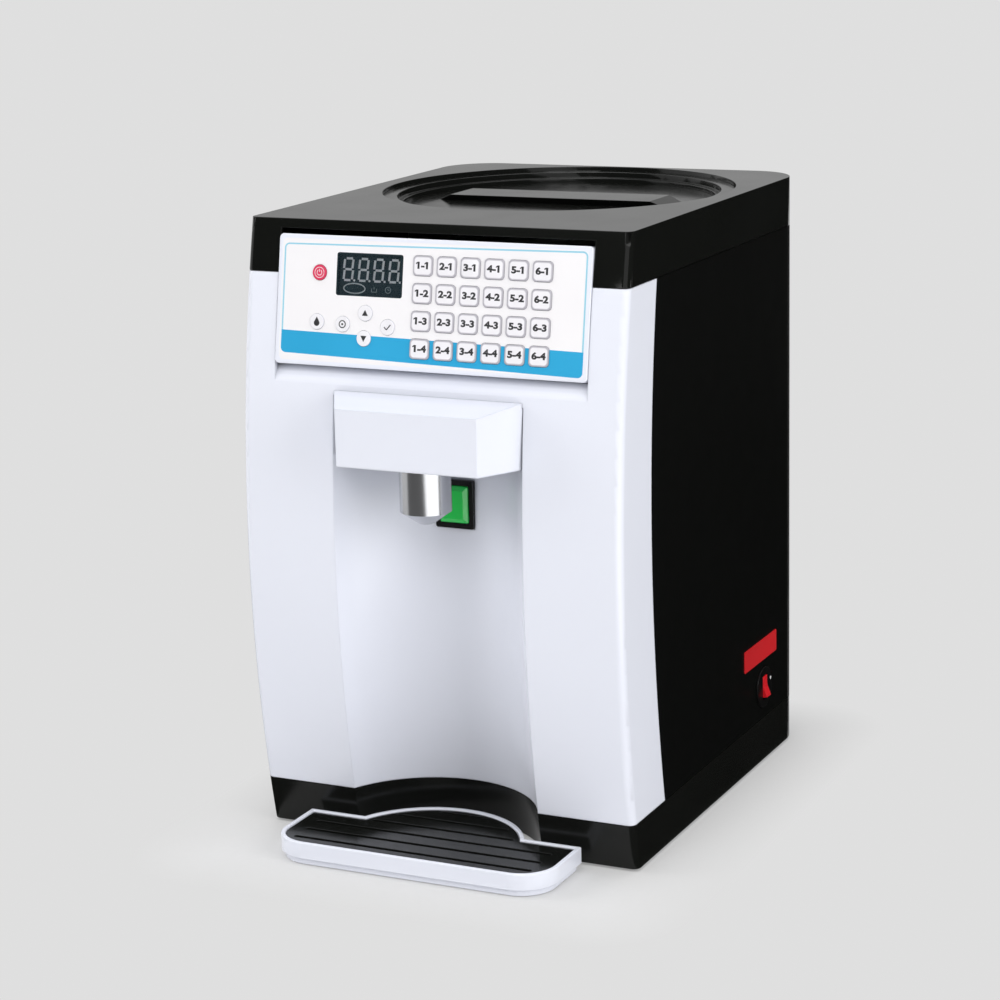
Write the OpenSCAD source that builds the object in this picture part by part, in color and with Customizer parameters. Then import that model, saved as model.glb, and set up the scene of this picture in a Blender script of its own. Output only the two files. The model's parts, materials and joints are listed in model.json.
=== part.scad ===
// Countertop fructose dispenser: bowed front with a cup niche, keypad, tank, pump and drip tray.
// +Z is up, the front faces -Y, and the origin is on the ground under the middle of the whole.

/* [Body] */
// Width across the side walls
body_w = 266; // [262:1:270]
// Height of the deck above the ground
body_h = 409; // [407:0.5:411]
// Depth from the deck's front edge to the back wall
body_d = 310; // [309:0.5:314]
// Distance from the deck's front edge to the middle of the whole depth
front_reach = 119.8; // [115:0.1:125]
// Radius of the rear corners
rear_corner_r = 35; // [25:1:45]
// Rounding of the upright front edges
front_edge_r = 5; // [4:0.5:7]
// Wall of the moulded covers
wall = 3; // [2.6:0.1:3.4]
// Wall of the metal housing
sheet = 1.5; // [1:0.1:2]
// Height of the base above the ground
base_h = 33; // [31:1:35]
// Height of the top cover's skirt
skirt_h = 34; // [32:1:36]
// Gap left between the two sides of a seam
seam = 0.3; // [0.1:0.1:0.5]

/* [Bowed front] */
// Radius of the bow in side view
bow_r = 930; // [900:5:960]
// Distance of the bow's foremost line in front of the deck's front edge
bow_reach = 26.5; // [24:0.5:28]
// Height of the bow's foremost line
bow_z = 196.5; // [190:0.5:205]
// Radius of the arc that ends the white panel on the sides
flange_r = 968; // [940:2:1000]
// Distance of that arc's foremost point behind the deck's front edge
flange_y = 23; // [21:0.5:26]
// Height of that arc's foremost point
flange_z = 217; // [205:1:225]

/* [Niche] */
// Radius of the niche's round wall
niche_r = 73; // [71:0.5:75]
// Distance of the niche's centre line in front of the bow
niche_reach = 30; // [28:0.5:32]
// Height of the niche's ceiling
niche_top = 300; // [298:0.5:301]

/* [Control panel] */
// Width of the control bezel
bezel_w = 218; // [216:0.5:220]
// Height of the bezel's lower edge
bezel_z0 = 318; // [317:0.5:319]
// Height of the bezel's upper edge
bezel_z1 = 400; // [399:0.5:401]
// Distance of the lower edge in front of the deck's front edge
bezel_low_reach = 20; // [19.5:0.1:21]
// Distance of the upper edge in front of the deck's front edge
bezel_top_reach = 6; // [5.5:0.1:6.5]
// Depth of the bezel's side walls
bezel_depth = 12; // [11:0.5:13]
// Thickness of the printed overlay
overlay_t = 0.8; // [0.6:0.1:1]
// Width and height of a preset key
key_size = [13.6, 12.7]; // [11:0.1:14]
// Distance between preset keys, across and down
key_pitch = [16.4, 17.3]; // [16:0.1:18]
// How far a key stands out of the overlay
key_proud = 0.6; // [0.4:0.1:0.8]
// Travel of a key
key_travel = 0.4; // [0.3:0.05:0.5]

/* [Dispensing] */
// Height of the nozzle housing's underside
housing_z0 = 261; // [259:0.5:263]
// Height of its top where it meets the bow
housing_z1 = 303; // [302:0.5:304]
// Half its width where it meets the bow
housing_back_w = 66; // [65:0.5:66.4]
// Half its width at the front
housing_front_w = 49; // [45:1:55]
// Distance of its front face in front of the deck's front edge
housing_reach = 52; // [50:1:56]
// Radius of the nozzle
nozzle_r = 16.5; // [15:0.5:18]
// Distance of the nozzle's centre in front of the deck's front edge
nozzle_reach = 26; // [25:0.5:28]
// Height of the nozzle's tip
nozzle_tip_z = 223; // [221:0.5:225]
// Width and height of the dispense button's frame
button_frame_size = [27, 32]; // [25:0.5:34]
// Height of the dispense button's middle
button_z = 226; // [224:0.5:228]

/* [Tank and lid] */
// Distance of the tank's centre behind the deck's front edge
tank_y = 187; // [186:0.5:187.5]
// Radius of the opening in the deck
opening_r = 120.5; // [120:0.1:120.8]
// Outer radius of the tank
tank_r = 104; // [100:0.5:104]
// Height of the tank's bottom
tank_z0 = 150; // [148:1:170]
// Height of the dish's floor in the lid
dish_z = 399.5; // [399:0.1:400]
// Width of the handle bar
bar_w = 36; // [30:1:40]
// Length of the handle bar's top
bar_l = 148; // [130:1:152]

/* [Drip tray] */
// Half the tray's width
tray_w = 98; // [94:1:102]
// Distance of the tray's front in front of the deck's front edge
tray_reach = 75; // [72:1:78]
// Height of the tray's rim
tray_z1 = 16; // [15:0.5:17]
// Radius of the tray's rear lobe
lobe_r = 64; // [62:0.5:66]
// Distance between the slots of the grille
slot_pitch = 15; // [14:0.5:16]

/* [Power] */
// Distance of the switch behind the deck's front edge
switch_y = 226; // [222:1:234]
// Height of the switch
switch_z = 56; // [52:1:58]
// Radius of the switch's collar
collar_r = 14.5; // [13.5:0.5:15.5]
// How far the collar stands out of the side wall
collar_proud = 1.5; // [1:0.5:3]

/* [Hidden] */
$fn = 48;
eps = 0.01;
skirt_z = body_h - skirt_h;
bow_y = bow_r - bow_reach;
flange_axis_y = flange_y + flange_r;
half_w = body_w / 2;
niche_centre_r = bow_r + niche_reach;
key_clear = 0.2;
overlay_size = [213.5, 78.5];
window_size = [47, 27.2];
// Middle of the display window on the panel: across, and up from the bezel's lower edge
window_at = [-43.1, 59];
first_key_at = [-5.6, 66.4];
round_key_r = 5;
// Round keys: name, then place on the panel: across, and up from the bezel's lower edge
round_keys = [
    ["key_power", -78.7, 59.2],
    ["key_clean", -79.2, 28],
    ["key_set", -60.7, 27.3],
    ["key_save", -28.7, 26.9],
    ["key_up", -44.8, 35],
    ["key_down", -45.2, 19]
];
preset_keys = [for (col = [1:6], row = [1:4]) [str("key_", col, "_", row), col, row]];
slope_len = norm([bezel_low_reach - bezel_top_reach, bezel_z1 - bezel_z0]);
slope_angle = atan2(bezel_low_reach - bezel_top_reach, bezel_z1 - bezel_z0);
web_t = 2.4;
board_depth = bezel_depth - 2;
cap_back = overlay_t + web_t - 0.2;
seat_z = 396.7;
seat_r = 103.5;
seat_t = 3;
gasket_t = 2;
tank_top_z = seat_z - seat_t - gasket_t;
tank_wall = 1;
tank_flange_r = 116;
rim_z = 406.3;
dish_r = 106.5;
lid_t = 2.5;
lid_clear = 0.3;
ground_gap = 2;
tray_z0 = 0.6;
tray_rim = 3;
tray_ledge = 4;
lobe_y = -42;
grille_t = 3;
grille_z1 = tray_z1 - 1;
pump_y = tank_y;
pump_z = 86;
pump_r = 32;
pump_x0 = -22;
pump_x1 = 22;
rotor_r = 20;
shaft_r = 4;
motor_r = 29;
motor_x0 = 34;
motor_x1 = 110;
hose_r = 8;
hose_bore = 5;
hose_y = 62;
hose_z = 281;
m4_r = 2;
m4_head_r = 3.8;
m4_head_h = 2.4;
m4_length = 10;
rear_cover_size = [196, 300];
rear_cover_z = 200;
rear_frame = 12;
rear_screws = [for (x = [-92, 92], z = [-144, 0, 144]) [x, z]];
pump_screws = [for (x = [-16, 16], y = [-38, 38]) [x, y]];
supply_size = [80, 110];
supply_at = [-80, 150, 42];
supply_screws = [for (x = [-34, 34], y = [-49, 49]) [x, y]];
foot_r = 11;
feet_at = [for (x = [-105, 105], y = [62, 270]) [x, y]];
inlet_at = [62, 80];
button_lens = [20, 24.4];
button_travel = 3;
button_back = 12;
button_proud = 5.5;
button_seat_y = 16.9;
rocker_size = [8, 15];
rocker_pin_r = 1.5;
rocker_pin_l = 12;
rocker_pin_in = 1.5;

// Moves what is measured from the deck's front edge into the part's own frame.
module placed() {
    translate([0, -front_reach, 0]) children();
}

// Sweeps a flat outline about the bow's axis: its x is the radius, its y runs across the front.
module about_bow() {
    sweep_angle = 50;
    translate([0, bow_y, bow_z])
        rotate([0, 90, 0])
            rotate([0, 0, -90 - sweep_angle / 2])
                rotate_extrude(angle = sweep_angle, $fn = 360) children();
}

// A rectangle about the origin with round corners.
module round_rect(size, r) {
    square([size[0] - 2 * r, size[1]], center = true);
    square([size[0], size[1] - 2 * r], center = true);
    for (x = [-1, 1], y = [-1, 1])
        translate([x * (size[0] / 2 - r), y * (size[1] / 2 - r)]) circle(r);
}

// Cross-section of the body square to the bow, with rounded front edges.
module bow_section(inset) {
    r = max(front_edge_r - inset, 1);
    w = half_w - inset;
    outer = bow_r - inset;
    inner = bow_r - 380;
    translate([inner, -w]) square([outer - inner - r, 2 * w]);
    translate([outer - r - 1, -w + r]) square([r + 1, 2 * (w - r)]);
    for (side = [-1, 1]) translate([outer - r, side * (w - r)]) circle(r, $fn = 32);
}

// The body's outer form between two heights, drawn in by the inset.
module body_form(inset, z0, z1) {
    r = rear_corner_r - inset;
    // the corner's arc runs this far past the walls, so that it crosses them at a clear angle
    past = 0.05;
    x = half_w - inset - r + past;
    back = body_d - inset;
    difference() {
        intersection() {
            about_bow() bow_section(inset);
            translate([-half_w - 10, -60, z0]) cube([body_w + 20, back + 60, z1 - z0]);
        }
        // round the two rear corners
        for (side = [-1, 1]) translate([side * x, back - r + past, z0 - 1])
            linear_extrude(z1 - z0 + 2) difference() {
                translate([side > 0 ? 0 : -r - 5, 0]) square(r + 5);
                circle(r);
            }
    }
}

// A straight bar of the given outline across the whole front; the outline's points are [y, z].
module across(points, w) {
    translate([-w / 2, 0, 0])
        rotate([90, 0, 90]) linear_extrude(w) polygon(points);
}

// The round space of the niche, or its wall's outside when grown.
module niche_space(grow) {
    about_bow() translate([niche_centre_r, 0]) circle(niche_r + grow, $fn = 96);
}

// Everything behind the arc on which the white panel ends.
module behind_flange(gap) {
    translate([-half_w - 5, flange_axis_y, flange_z])
        rotate([0, 90, 0]) cylinder(r = flange_r - gap, h = body_w + 10, $fn = 360);
}

// Puts children on the sloping control panel: x across, z up the slope, -y out of it.
module on_panel() {
    translate([0, -bezel_low_reach, bezel_z0]) rotate([-slope_angle, 0, 0]) children();
}

// A plate on the control panel, from the given depth, with its outline in [across, up].
module panel_plate(depth, t) {
    translate([0, depth + t, 0]) rotate([90, 0, 0]) linear_extrude(t) children();
}

function preset_key_at(col, row) =
    [first_key_at[0] + (col - 1) * key_pitch[0], first_key_at[1] - (row - 1) * key_pitch[1]];

// Outlines of all the keys, grown by a clearance.
module key_outlines(grow) {
    for (k = preset_keys)
        translate(preset_key_at(k[1], k[2]))
            round_rect(key_size + [2 * grow, 2 * grow], 2.5 + grow);
    for (k = round_keys) translate([k[1], k[2]]) circle(round_key_r + grow);
}

module m4_screw() {
    cylinder(r = m4_head_r, h = m4_head_h);
    translate([0, 0, -m4_length]) cylinder(r = m4_r, h = m4_length + eps);
}

// ---- Covers ----

module top_cover() {
    rib_y0 = 24;
    rib_h = 8;
    color("#1b1c1e") placed() difference() {
        union() {
            difference() {
                body_form(0, skirt_z + seam, body_h);
                body_form(wall, skirt_z - 1, body_h - wall);
            }
            // collar and seat round the opening
            translate([0, tank_y, seat_z - seat_t])
                cylinder(r = opening_r + 2, h = body_h - wall - seat_z + seat_t + eps, $fn = 120);
            // stiffening ribs under the deck
            for (x = [-80, 0, 80]) translate([x - 1, rib_y0, body_h - wall - rib_h])
                cube([2, tank_y - 105 - rib_y0, rib_h + eps]);
        }
        translate([0, tank_y, seat_z]) cylinder(r = opening_r, h = 30, $fn = 120);
        translate([0, tank_y, seat_z - seat_t - 1]) cylinder(r = seat_r, h = 10, $fn = 120);
        // the notch that the control bezel stands in
        translate([-bezel_w / 2 - seam, -60, skirt_z - 1])
            cube([bezel_w + 2 * seam, 62, bezel_z1 + 3 - skirt_z + 1]);
    }
}

module lid() {
    plug_r = 101;
    bar_foot_w = bar_w - 8;
    bar_top_z = dish_z + 4.5;
    under_z = seat_z + lid_clear;
    plug_h = 8;
    color("#17181a") placed() translate([0, tank_y, 0]) {
        rotate_extrude($fn = 120) {
            translate([0, under_z]) square([dish_r, dish_z - under_z]);
            // ring that plugs the tank's mouth
            translate([plug_r - lid_t, under_z - plug_h]) square([lid_t, plug_h + eps]);
        }
        // handle bar with undercut sides and sloping ends
        intersection() {
            across([
                [-bar_foot_w / 2, dish_z - eps],
                [bar_foot_w / 2, dish_z - eps],
                [bar_w / 2, bar_top_z],
                [-bar_w / 2, bar_top_z]
            ], 2 * 100);
            rotate([90, 0, 0]) translate([0, 0, -bar_w]) linear_extrude(2 * bar_w) polygon([
                [-bar_l / 2 - 14, dish_z - 1],
                [bar_l / 2 + 14, dish_z - 1],
                [bar_l / 2, bar_top_z + eps],
                [-bar_l / 2, bar_top_z + eps]
            ]);
        }
    }
}

// The stepped ring round the lid's dish.
module lid_rim() {
    rim_r = opening_r - 0.5;
    fit = 0.05;
    step_w = 4;
    step_z = dish_z + 2.8;
    under_z = seat_z + lid_clear;
    color("#17181a") placed() translate([0, tank_y, 0]) rotate_extrude($fn = 120) polygon([
        [dish_r + fit, under_z],
        [rim_r, under_z],
        [rim_r, rim_z],
        [dish_r + step_w, rim_z],
        [dish_r + step_w, step_z],
        [dish_r + fit, step_z]
    ]);
}

module housing_shell() {
    z0 = base_h + seam;
    z1 = skirt_z;
    color("#141517") placed() {
        difference() {
            body_form(0, z0, z1);
            body_form(sheet, z0 - 1, z1 + 1);
            // the front is left open for the white panel
            difference() {
                translate([-half_w - 1, -70, z0 - 1]) cube([body_w + 2, 160, z1 - z0 + 2]);
                behind_flange(seam);
            }
            // access opening in the back wall
            translate([0, body_d + 1, rear_cover_z]) rotate([90, 0, 0])
                linear_extrude(rear_corner_r)
                    square(rear_cover_size - 2 * [rear_frame, rear_frame], center = true);
            // hole for the switch
            translate([half_w - 5, switch_y, switch_z])
                rotate([0, 90, 0]) cylinder(r = 12.2, h = 10);
            // holes for the rear cover's screws
            for (s = rear_screws) translate([s[0], body_d - 8, rear_cover_z + s[1]])
                rotate([-90, 0, 0]) cylinder(r = m4_r + 0.02, h = 10);
        }
        // shelf that carries the tank, with a fold down each side
        shelf_z = tank_z0 - sheet;
        weld = 0.3;
        difference() {
            union() {
                translate([-half_w + sheet - weld, 72, shelf_z])
                    cube([body_w - 2 * (sheet - weld), 190, sheet]);
                for (side = [-1, 1])
                    translate([side * (half_w - 1.5 * sheet + weld) - sheet / 2, 72, shelf_z - 12])
                        cube([sheet, 190, 12 + eps]);
            }
            translate([0, tank_y, shelf_z - 1]) cylinder(r = 40, h = 5);
        }
    }
}

module rear_cover() {
    slot = [30, 3];
    color("#191a1c") placed()
        translate([0, body_d, rear_cover_z]) rotate([90, 0, 0]) mirror([0, 0, 1]) difference() {
            linear_extrude(2) round_rect(rear_cover_size, 8);
            // vents, in three columns
            for (x = [-1, 0, 1], k = [0:13]) translate([x * 42, 10 + k * 8.5, -1])
                linear_extrude(4) {
                    square([slot[0] - slot[1], slot[1]], center = true);
                    for (e = [-1, 1]) translate([e * (slot[0] - slot[1]) / 2, 0])
                        circle(d = slot[1]);
                }
            for (s = rear_screws) translate([s[0], s[1], -1]) cylinder(r = m4_r + 0.02, h = 4);
            // window for the inlet
            translate([inlet_at[0], inlet_at[1] - rear_cover_z, -1])
                linear_extrude(4) square([28.4, 20.4], center = true);
        }
}

module front_panel() {
    pocket_z0 = bezel_z0 - 14.5;
    pocket_z1 = bezel_z0 - seam;
    pocket_y0 = -20.6;
    pocket_deep = 9.6;
    opening_w = bezel_w + 2 * seam;
    // the pocket's back leaves the bow gently and curves inwards, as [depth, height]
    pocket_back = [for (k = [0:6])
        [pocket_y0 + pocket_deep * pow(k / 6, 1.8), pocket_z0 + (pocket_z1 - pocket_z0) * k / 6]];
    color("#f2f4f8") placed() difference() {
        union() {
            difference() {
                body_form(0, base_h + seam, skirt_z);
                body_form(wall, base_h - 1, skirt_z + 1);
                behind_flange(0);
            }
            intersection() {
                body_form(0, base_h + seam, niche_top + wall);
                niche_space(wall);
            }
            // wall behind the pocket under the bezel
            intersection() {
                across(concat(
                    [[pocket_y0 + wall + 1, pocket_z0 - 8], [pocket_y0, pocket_z0 - 8]],
                    [for (p = pocket_back) p - [0.5, 0]],
                    [for (k = [6:-1:0]) pocket_back[k] + [wall, 0]]
                ), opening_w + 6);
                body_form(0, base_h, skirt_z);
            }
            // seat for the dispense button
            translate([-button_frame_size[0] / 2 - 3, button_seat_y - 1, button_z - 19])
                cube([button_frame_size[0] + 6, 5, 38]);
        }
        intersection() {
            niche_space(0);
            translate([-half_w, -100, base_h - 5]) cube([body_w, 200, niche_top - base_h + 5]);
        }
        // pocket, then the opening behind the bezel
        across(concat(
            [[-60, pocket_z0]],
            pocket_back,
            [[1, pocket_z1], [1, skirt_z + 5], [-60, skirt_z + 5]]
        ), opening_w);
        // room for the bezel's side walls
        on_panel() translate([-opening_w / 2, 0, -seam])
            cube([opening_w, bezel_depth + seam, slope_len + 2 * seam]);
        // seat and hole for the dispense button
        translate([-button_frame_size[0] / 2 - 0.2, -10, button_z - button_frame_size[1] / 2 - 0.2])
            cube([button_frame_size[0] + 0.4, button_seat_y + 10, button_frame_size[1] + 0.4]);
        translate([-12, 0, button_z - 14.5]) cube([24, 40, 29]);
        // hole for the nozzle's hose tail
        translate([0, 0, hose_z]) rotate([-90, 0, 0]) cylinder(r = 9, h = 40);
    }
}

module base() {
    rear_step = 5;
    color("#121315") placed() difference() {
        union() {
            difference() {
                body_form(0, ground_gap, base_h);
                body_form(wall, ground_gap + wall, base_h + 1);
            }
            intersection() {
                body_form(0, ground_gap, base_h);
                niche_space(wall);
            }
            // posts for the pump and for the power board
            for (s = pump_screws)
                translate([s[0], pump_y + s[1], ground_gap]) cylinder(r = 5, h = 38);
            for (s = supply_screws)
                translate([supply_at[0] + s[0], supply_at[1] + s[1], ground_gap])
                    cylinder(r = 4.5, h = supply_at[2] - ground_gap);
        }
        intersection() {
            niche_space(0);
            translate([-half_w, -100, -5]) cube([body_w, 200, base_h + 10]);
        }
        // the back is set in under the housing
        translate([-half_w - 1, body_d - rear_step, 0]) cube([body_w + 2, 10, base_h + 1]);
        for (f = feet_at) translate([f[0], f[1], 0]) cylinder(r = 5, h = 10);
        for (s = pump_screws)
            translate([s[0], pump_y + s[1], 25]) cylinder(r = m4_r, h = 20);
        for (s = supply_screws)
            translate([supply_at[0] + s[0], supply_at[1] + s[1], 25]) cylinder(r = m4_r, h = 20);
    }
}

module feet() {
    color("#202020") placed() for (f = feet_at) translate([f[0], f[1], 0]) {
        cylinder(r = foot_r, h = ground_gap);
        cylinder(r = 5, h = ground_gap + wall);
        translate([0, 0, ground_gap + wall]) cylinder(r1 = 6.5, r2 = 5, h = 2.5);
    }
}

// ---- Control panel ----

module control_bezel() {
    edge_r = 3;
    mid_z = slope_len / 2;
    color("#eceff4") placed() on_panel() difference() {
        union() {
            difference() {
                panel_plate(0, bezel_depth) translate([0, mid_z])
                    round_rect([bezel_w, slope_len - seam], edge_r);
                panel_plate(web_t + overlay_t, bezel_depth) translate([0, mid_z])
                    round_rect([bezel_w - 4, slope_len - 4], edge_r - 1);
            }
            // posts that hold the board
            for (x = [-98, 98], z = [8, slope_len - 8])
                translate([x, web_t, z]) rotate([-90, 0, 0])
                    cylinder(r = 3, h = board_depth - web_t);
        }
        panel_plate(-1, overlay_t + 1) translate([0, mid_z])
            round_rect(overlay_size + [0.4, 0.4], 4);
        panel_plate(-1, 10) key_outlines(key_clear);
        panel_plate(-1, 10) translate(window_at)
            round_rect(window_size - [1.6, 1.6], 1);
    }
}

// The printed film; it is clear over the display.
module keypad_overlay() {
    color("#e8eef4") placed() on_panel() panel_plate(0, overlay_t) difference() {
        translate([0, slope_len / 2]) round_rect(overlay_size, 4);
        key_outlines(key_clear);
    }
}

module display_module() {
    digit_pitch = 10.8;
    digit = [7.4, 15.1];
    digit_at = [0.6, 3.1];
    digit_proud = 0.4;
    segment_t = 1.4;
    front = overlay_t + 0.6;
    slant = 0.09;
    bar_x = (digit[0] - segment_t) / 2;
    bar_z = (digit[1] - segment_t) / 2;
    color("#20282d") placed() on_panel() translate([window_at[0], 0, window_at[1]]) {
        panel_plate(front, board_depth - front) square(window_size - [2, 2], center = true);
        // four figures in raised slanting segments, each with its point
        for (d = [0:3]) translate([(d - 1.5) * digit_pitch + digit_at[0], 0, digit_at[1]])
            panel_plate(front - digit_proud, digit_proud + eps) {
                for (k = [-1:1]) translate([k * bar_z * slant, k * bar_z])
                    square([digit[0] - 3, segment_t], center = true);
                for (side = [-1, 1], k = [-1, 1])
                    translate([side * bar_x, k * bar_z / 2]) slanted_bar(segment_t, bar_z - 1.2, slant);
                translate([bar_x + 1.4, -bar_z]) circle(0.7);
            }
    }
}

// An upright bar about the origin that leans to the right by the slant.
module slanted_bar(w, h, slant) {
    lean = slant * h / 2;
    polygon([
        [-w / 2 - lean, -h / 2],
        [w / 2 - lean, -h / 2],
        [w / 2 + lean, h / 2],
        [-w / 2 + lean, h / 2]
    ]);
}

module control_board() {
    switch_top = cap_back + key_travel + 0.1;
    mid_z = slope_len / 2;
    color("#1f5a3a") placed() on_panel() {
        panel_plate(board_depth, 1.6) translate([0, mid_z])
            round_rect([204, slope_len - 8], 2);
        // one tact switch behind each key
        panel_plate(board_depth - 3, 3 + eps) {
            for (k = preset_keys)
                translate(preset_key_at(k[1], k[2])) square([6, 6], center = true);
            for (k = round_keys) translate([k[1], k[2]]) square([6, 6], center = true);
        }
        panel_plate(switch_top, board_depth - 3 - switch_top + eps) {
            for (k = preset_keys) translate(preset_key_at(k[1], k[2])) circle(1.7);
            for (k = round_keys) translate([k[1], k[2]]) circle(1.7);
        }
        // connectors on the back
        for (x = [-70, -30, 40]) panel_plate(board_depth + 1.6 - eps, 7)
            translate([x, 14]) square([18, 6], center = true);
    }
}

// A key: its cap, standing a little out of the overlay.
module key_cap() {
    panel_plate(-key_proud, key_proud + cap_back) children();
}

module preset_key(col, row) {
    color("#f5f7fa") placed() on_panel() key_cap()
        translate(preset_key_at(col, row)) round_rect(key_size, 2.5);
}

module round_key(k) {
    color(k[0] == "key_power" ? "#d8305a" : "#e4e8ee") placed() on_panel() key_cap()
        translate([k[1], k[2]]) circle(round_key_r);
}

// ---- Dispensing ----

module nozzle_housing() {
    back_y = -bow_reach + 6;
    front_y = -housing_reach;
    drop = 5;
    module trapezoid(inset) {
        polygon([
            [-housing_back_w + inset, 40],
            [-housing_back_w + inset, back_y],
            [-housing_front_w + inset, front_y + inset],
            [housing_front_w - inset, front_y + inset],
            [housing_back_w - inset, back_y],
            [housing_back_w - inset, 40]
        ]);
    }
    module block(inset) {
        intersection() {
            translate([0, 0, housing_z0 + inset]) linear_extrude(60) trapezoid(inset);
            across([
                [40, 200],
                [40, housing_z1 - inset],
                [back_y, housing_z1 - inset],
                [front_y, housing_z1 - drop - inset],
                [-80, housing_z1 - drop - inset],
                [-80, 200]
            ], 200);
        }
    }
    color("#f4f6fa") placed() difference() {
        // outside the bow the block keeps its full height; inside it fills the niche
        union() {
            difference() {
                block(0);
                about_bow() translate([bow_r - 90, -90]) square([90 + 0.2, 180]);
            }
            intersection() {
                block(0);
                niche_space(-seam);
                translate([-90, -60, housing_z0]) cube([180, 120, niche_top - seam - housing_z0]);
            }
        }
        intersection() {
            block(wall);
            niche_space(-wall);
            translate([-90, -60, housing_z0]) cube([180, 120, niche_top - wall - housing_z0]);
        }
        translate([0, -nozzle_reach, housing_z0 - 1]) cylinder(r = 10, h = 10);
        translate([0, 0, hose_z]) rotate([-90, 0, 0]) cylinder(r = 9, h = 40);
    }
}

module nozzle() {
    tail_r = hose_bore;
    color("#b9bcc0") placed() translate([0, -nozzle_reach, 0]) difference() {
        union() {
            rotate_extrude() polygon([
                [0, nozzle_tip_z],
                [5, nozzle_tip_z],
                [nozzle_r, nozzle_tip_z + 8],
                [nozzle_r, housing_z0],
                [10, housing_z0],
                [10, hose_z + 8],
                [0, hose_z + 8]
            ]);
            // lock nut above the housing's floor
            translate([0, 0, housing_z0 + wall]) cylinder(r = 14, h = 5, $fn = 6);
            // hose tail towards the back
            translate([0, 0, hose_z]) rotate([-90, 0, 0])
                cylinder(r = tail_r, h = nozzle_reach + hose_y - 26);
        }
        translate([0, 0, nozzle_tip_z - 1]) cylinder(r = 3, h = hose_z - nozzle_tip_z + 1);
        translate([0, 0, hose_z]) rotate([-90, 0, 0]) cylinder(r = 3, h = nozzle_reach + hose_y);
    }
}

module button_frame() {
    flange_t = 3.3;
    color("#111214") placed() translate([0, button_seat_y, button_z]) rotate([90, 0, 0]) {
        difference() {
            union() {
                linear_extrude(flange_t) round_rect(button_frame_size, 1.5);
                translate([0, 0, -24]) linear_extrude(24 + eps) square([23.4, 28.4], center = true);
            }
            translate([0, 0, -button_back - button_travel - 1]) linear_extrude(30)
                round_rect(button_lens + [0.6, 0.6], 1);
        }
        // terminals
        for (x = [-6, 6], y = [-8, 8]) translate([x, y, -32]) linear_extrude(9)
            square([0.8, 4.8], center = true);
    }
}

module dispense_button() {
    bevel = [3, 2];
    length = button_back + button_proud;
    color("#22b04a") placed() translate([0, button_seat_y, button_z]) rotate([90, 0, 0])
        translate([0, 0, -button_back]) intersection() {
            linear_extrude(length) round_rect(button_lens, 1);
            union() {
                linear_extrude(length - bevel[1])
                    square(button_lens + [2, 2], center = true);
                // bevelled face
                translate([0, 0, length - bevel[1] - eps]) hull() {
                    linear_extrude(0.1) square(button_lens, center = true);
                    translate([0, 0, bevel[1] - 0.1]) linear_extrude(0.1)
                        square(button_lens - 2 * [bevel[0], bevel[0]], center = true);
                }
            }
        }
}

module drip_tray() {
    floor_t = 2.5;
    step_z = 5;
    step_in = 2.5;
    color("#eef0f5") placed() difference() {
        union() {
            translate([0, 0, step_z]) linear_extrude(tray_z1 - step_z) tray_outline(0);
            translate([0, 0, tray_z0]) linear_extrude(tray_z1 - tray_z0 - 2)
                tray_outline(step_in);
        }
        translate([0, 0, tray_z0 + floor_t]) linear_extrude(30)
            tray_outline(tray_rim + tray_ledge);
        // ledge for the grille
        translate([0, 0, grille_z1 - grille_t - 0.3]) linear_extrude(30)
            tray_outline(tray_rim);
    }
}

// The tray from above: a round-cornered front, and a lobe that reaches into the base.
module tray_outline(inset) {
    corner = 25 - inset;
    w = tray_w - inset;
    front = -tray_reach + inset;
    back = -15 - inset;
    translate([-w, front + corner]) square([2 * w, back - front - corner]);
    translate([-w + corner, front]) square([2 * (w - corner), corner + 1]);
    for (side = [-1, 1]) translate([side * (w - corner), front + corner]) circle(corner);
    translate([0, lobe_y]) intersection() {
        circle(lobe_r - inset, $fn = 96);
        translate([-100, 0]) square([200, 100]);
    }
}

module drip_grille() {
    slot_w = 3;
    edge = tray_rim + 0.3;
    slot_ys = [for (k = [0:5]) -tray_reach + 12.5 + k * slot_pitch];
    color("#0f1012") placed() difference() {
        translate([0, 0, grille_z1 - grille_t]) linear_extrude(grille_t) tray_outline(edge);
        // slots, shortened where the lobe narrows
        for (y = slot_ys) {
            in_lobe = y > -24;
            half = in_lobe
                ? sqrt(pow(lobe_r - edge - 4, 2) - pow(max(y - lobe_y, 0), 2))
                : tray_w - edge - 10;
            translate([0, y, 0]) linear_extrude(30) {
                square([2 * half - slot_w, slot_w], center = true);
                for (e = [-1, 1]) translate([e * (half - slot_w / 2), 0]) circle(d = slot_w);
            }
        }
    }
}

// ---- Tank and pump ----

module tank() {
    spigot_z = tank_z0 - 14;
    color("#c4c7ca") placed() translate([0, tank_y, 0]) difference() {
        union() {
            rotate_extrude($fn = 120) difference() {
                polygon([
                    [0, tank_z0],
                    [tank_r - 8, tank_z0],
                    [tank_r, tank_z0 + 8],
                    [tank_r, tank_top_z - 1.2],
                    [tank_flange_r, tank_top_z - 1.2],
                    [tank_flange_r, tank_top_z],
                    [tank_r - tank_wall, tank_top_z],
                    [tank_r - tank_wall, tank_z0 + 8.4],
                    [tank_r - 8.4, tank_z0 + tank_wall],
                    [0, tank_z0 + tank_wall]
                ]);
            }
            translate([0, 0, spigot_z]) cylinder(r = 9, h = 14 + eps);
        }
        translate([0, 0, spigot_z - 1]) cylinder(r = 7.5, h = 20);
    }
}

module tank_gasket() {
    color("#d9d9d4") placed() translate([0, tank_y, tank_top_z]) rotate_extrude($fn = 120)
        translate([105.5, 0]) square([10.5, gasket_t]);
}

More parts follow.
